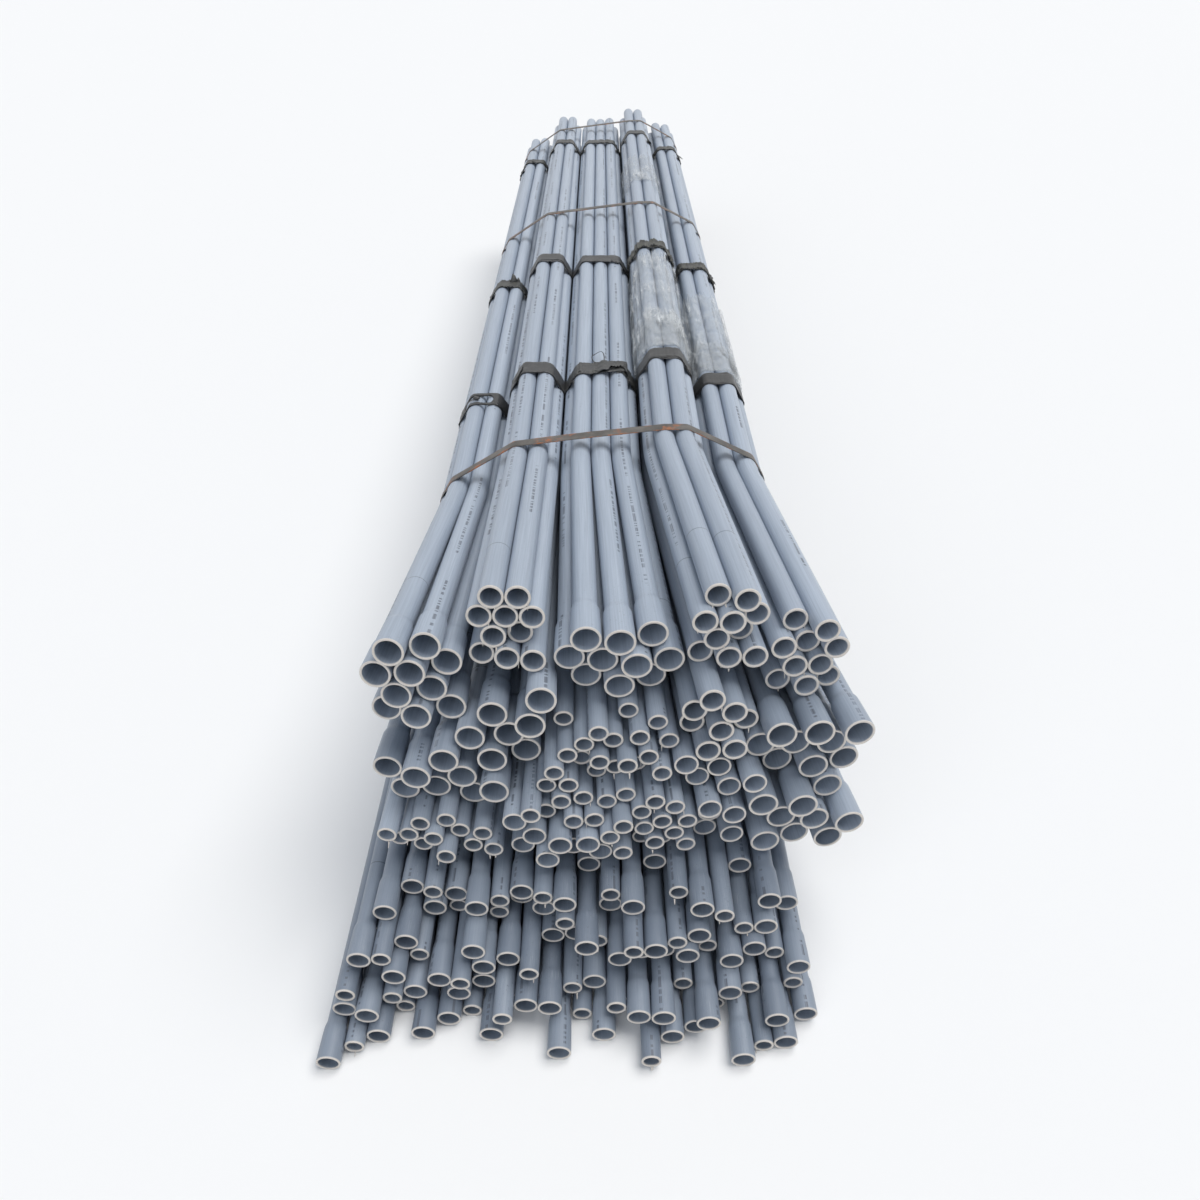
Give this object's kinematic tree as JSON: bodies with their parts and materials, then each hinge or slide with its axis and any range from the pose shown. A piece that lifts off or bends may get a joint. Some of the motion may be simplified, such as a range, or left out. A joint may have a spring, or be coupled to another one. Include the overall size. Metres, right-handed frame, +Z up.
{
  "type": "bundle of pvc conduit",
  "caption": "Banded bundle of rigid grey conduit lengths with belled ends, partly in taped packs, lying on a spread of loose lengths.",
  "frame": {"origin": "middle of the bundle's footprint on the floor", "axes": "+Y along the conduits from the opened-out near ends to the far ends, +X to the right seen from the near ends, +Z up"},
  "size_m": [0.7355, 3.3682, 0.5826],
  "materials": {
    "conduit": "grey extruded PVC with a satin skin, saw-cut ends with pale burrs, scuffs and dust",
    "band": "dull steel strapping with spots of rust",
    "tape": "dark plastic tape, wrinkled and torn in places",
    "film": "thin clear film, crinkled"
  },
  "bodies": {
    "root": {"belled_small_bottom": "conduit", "plain_small_left": "conduit", "plain_small_bottom": "conduit", "plain_small_centre": "conduit", "belled_large_right_low": "conduit", "belled_small_right": "conduit", "belled_large_right_high": "conduit", "plain_small_middle": "conduit", "belled_large_left": "conduit", "plain_large_middle": "conduit", "plain_small_top": "conduit", "belled_large_shoulder": "conduit", "taped_pack_flank": "conduit", "taped_pack_left": "conduit", "taped_pack_centre": "conduit", "taped_pack_middle": "conduit", "taped_pack_right": "conduit", "loose_row_1": "conduit", "loose_row_2": "conduit", "loose_row_3": "conduit", "loose_row_4": "conduit", "loose_row_5": "conduit", "steel_band_front": "band", "steel_band_middle": "band", "steel_band_rear": "band", "tape_flank": "tape", "tape_left": "tape", "tape_centre": "tape", "tape_middle": "tape", "tape_right": "tape", "film_sleeves": "film"}
  },
  "joints": []
}
